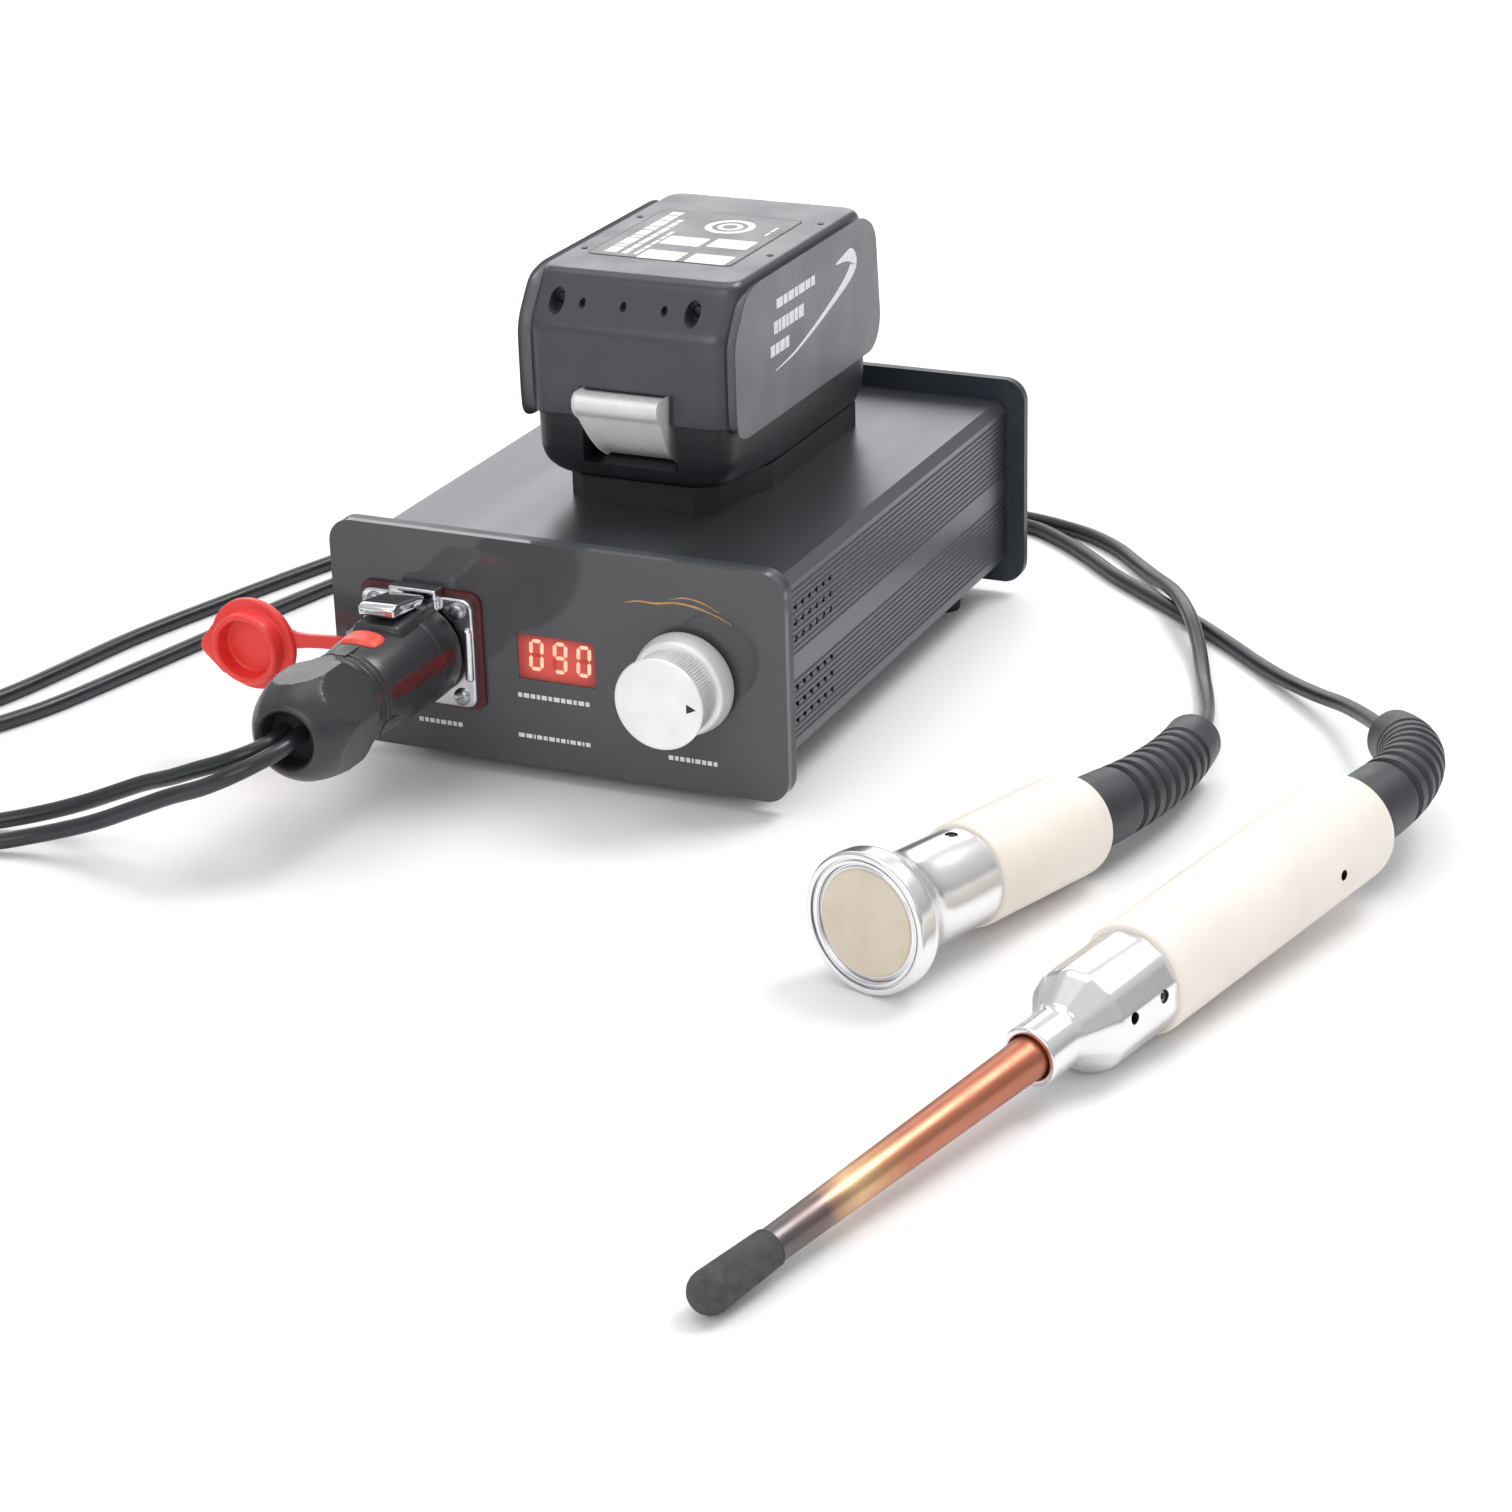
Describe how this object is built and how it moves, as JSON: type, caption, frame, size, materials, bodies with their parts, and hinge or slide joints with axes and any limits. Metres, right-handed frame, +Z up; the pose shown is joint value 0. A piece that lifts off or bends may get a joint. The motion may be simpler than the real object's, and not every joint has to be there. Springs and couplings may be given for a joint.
{
  "type": "soldering iron station",
  "caption": "Battery-powered soldering station with a display, a knob, a latching plug and two corded handpieces, one with a disc head and one with a copper rod.",
  "frame": {"origin": "on the floor under the middle of the case's footprint", "axes": "+X to the right seen from the front, +Y to the back, +Z up"},
  "size_m": [0.5902, 0.5666, 0.1503],
  "materials": {
    "case_aluminium": "satin anodised",
    "overlay": "gloss",
    "rear_metal": "satin anodised",
    "foot_rubber": "matt",
    "steel": "bright zinc",
    "red_window": "gloss translucent",
    "board": "solder mask",
    "bare_aluminium": "turned",
    "capacitor": "sleeved",
    "copper": "bare copper",
    "fan_plastic": "moulded",
    "brass": "plated",
    "knob_metal": "satin turned",
    "adapter_plastic": "moulded",
    "pack_dark": "moulded",
    "pack_grey": "fine texture",
    "pack_panel": "satin",
    "label": "printed film",
    "cell_wrap": "shrink film",
    "white_plastic": "moulded",
    "chrome": "plated",
    "gasket_red": "matt",
    "connector_plastic": "moulded",
    "cap_red": "soft",
    "heater_face": "matt",
    "handle_cream": "satin",
    "boot_rubber": "matt",
    "tip_coat": "matt coating",
    "lead_jacket": "semi gloss"
  },
  "bodies": {
    "station": {"upper_shell": "case_aluminium", "lower_shell": "case_aluminium", "front_bezel": "rear_metal", "front_overlay": "overlay", "rear_panel": "rear_metal", "rubber_feet": "foot_rubber", "case_screws": "steel", "display_window": "red_window", "display_module": "board", "main_board": "board", "heat_sink": "bare_aluminium", "capacitors": "capacitor", "inductor": "copper", "fan_frame": "fan_plastic", "encoder_body": "steel", "battery_adapter": "adapter_plastic", "adapter_terminals": "brass", "socket_flange": "chrome", "socket_gasket": "gasket_red", "socket_screws": "chrome", "socket_insert": "connector_plastic", "cap_pin": "steel", "plug_shell": "connector_plastic", "latch_pin": "steel", "gland_ring": "connector_plastic", "gland_nut": "connector_plastic", "gland_seal": "foot_rubber", "disc_lead_plug_end": "lead_jacket", "disc_lead_coil": "lead_jacket", "disc_lead_tool_end": "lead_jacket", "rod_lead_plug_end": "lead_jacket", "rod_lead_coil": "lead_jacket", "rod_lead_tool_end": "lead_jacket"},
    "fan": {"fan_rotor": "fan_plastic"},
    "encoder_slider": {"encoder_plunger": "brass"},
    "knob": {"knob": "knob_metal", "encoder_shaft": "steel"},
    "battery": {"battery_case": "pack_dark", "battery_cover": "pack_grey", "battery_side_panels": "pack_panel", "battery_label": "label", "battery_cells": "cell_wrap", "battery_board": "board", "battery_screws": "steel"},
    "release_button": {"release_button": "white_plastic"},
    "plug_latch": {"plug_latch": "chrome"},
    "dust_cap": {"dust_cap": "cap_red"},
    "disc_handpiece": {"disc_head": "bare_aluminium", "disc_face": "heater_face", "disc_coil": "copper", "disc_handle": "handle_cream", "disc_boot": "boot_rubber", "disc_screw": "steel"},
    "rod_handpiece": {"copper_rod": "copper", "rod_tip_coat": "tip_coat", "rod_ferrule": "bare_aluminium", "rod_handle": "handle_cream", "rod_boot": "boot_rubber", "rod_screws": "steel", "rod_winding": "copper"}
  },
  "joints": [
    {"name": "knob_press", "type": "slide", "parent": "station", "child": "encoder_slider", "axis": [0, 1, 0], "range_m": [0, 0.0008], "stiffness_N_per_m": 6000, "springref_m": -0.0006},
    {"name": "knob_turn", "type": "hinge", "parent": "encoder_slider", "child": "knob", "pos_m": [0.0465, -0.117, 0.0425], "axis": [0, -1, 0], "continuous": true},
    {"name": "battery_slide", "type": "slide", "parent": "station", "child": "battery", "axis": [0, -1, 0], "range_m": [0, 0.08]},
    {"name": "button_press", "type": "slide", "parent": "battery", "child": "release_button", "axis": [0, 0, 1], "range_m": [0, 0.004], "stiffness_N_per_m": 900, "springref_m": -0.002},
    {"name": "latch_tilt", "type": "hinge", "parent": "station", "child": "plug_latch", "pos_m": [-0.047, -0.122, 0.0607], "axis": [1, 0, 0], "range_deg": [0, 6], "stiffness_Nm_per_rad": 0.4, "springref_deg": -5.73},
    {"name": "cap_swing", "type": "hinge", "parent": "station", "child": "dust_cap", "pos_m": [-0.0685, -0.1152, 0.042], "axis": [0, 0, 1], "range_deg": [-4, 60]},
    {"name": "fan_spin", "type": "hinge", "parent": "station", "child": "fan", "pos_m": [0.038, 0.0955, 0.04275], "axis": [0, 1, 0], "continuous": true},
    {"name": "disc_lift", "type": "slide", "parent": "station", "child": "disc_handpiece", "axis": [0, 0, 1], "range_m": [0, 0.06]},
    {"name": "rod_lift", "type": "slide", "parent": "station", "child": "rod_handpiece", "axis": [0, 0, 1], "range_m": [0, 0.06]}
  ]
}
